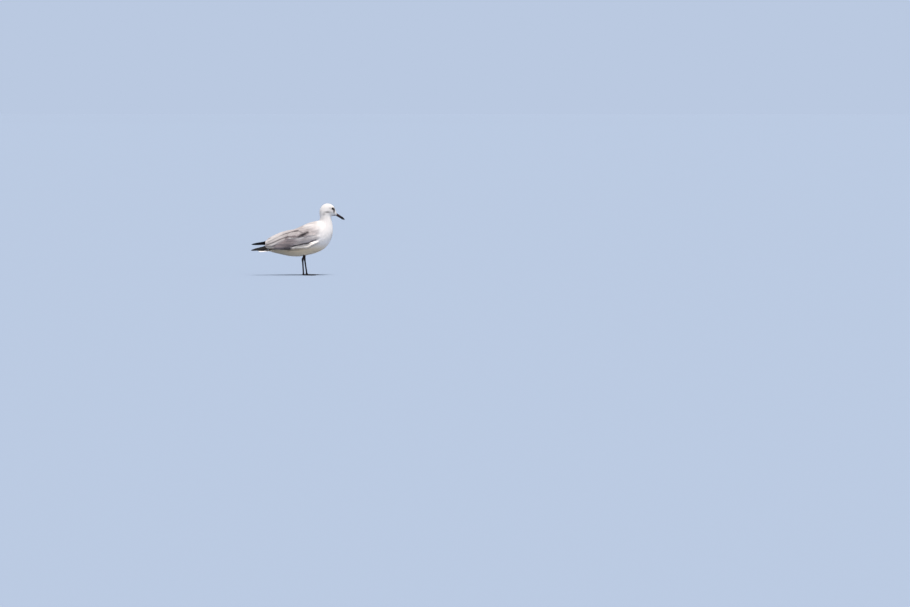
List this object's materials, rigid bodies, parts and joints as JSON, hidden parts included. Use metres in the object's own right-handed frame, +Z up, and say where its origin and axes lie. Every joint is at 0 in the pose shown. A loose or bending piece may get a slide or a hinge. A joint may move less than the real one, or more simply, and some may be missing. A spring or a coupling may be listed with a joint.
{
  "type": "standing gull",
  "caption": "Life-size small white-headed gull standing upright, with folded grey wings, black wing tips, a slim dark bill and webbed feet.",
  "frame": {"origin": "on the floor, under the middle of the bird's bounding box", "axes": "+X towards the bill, +Y to the bird's left, +Z up; the soles stand on z = 0"},
  "size_m": [0.3196, 0.0982, 0.2442],
  "materials": {
    "white_plumage": "soft white body feathers",
    "grey_plumage": "pale to mid grey wing and back feathers",
    "black_plumage": "black flight feathers with small white tips",
    "bill": "dark maroon horn, darker to the tip, slightly glossy",
    "legs": "dark red-black scaled skin",
    "claws": "black horn",
    "eyes": "dark brown wet eye"
  },
  "bodies": {
    "root": {"head": "white_plumage", "neck": "white_plumage", "trunk": "white_plumage", "tail": "white_plumage", "thigh_right": "white_plumage", "thigh_left": "white_plumage", "wing_right": "grey_plumage", "wing_left": "grey_plumage", "wing_tip_right": "black_plumage", "wing_tip_left": "black_plumage", "bill_upper": "bill", "bill_lower": "bill", "shank_right": "legs", "shank_left": "legs", "foot_right": "legs", "foot_left": "legs", "claw_right_inner": "claws", "claw_right_middle": "claws", "claw_right_outer": "claws", "claw_right_hind": "claws", "claw_left_inner": "claws", "claw_left_middle": "claws", "claw_left_outer": "claws", "claw_left_hind": "claws", "eye_right": "eyes", "eye_left": "eyes"}
  },
  "joints": []
}
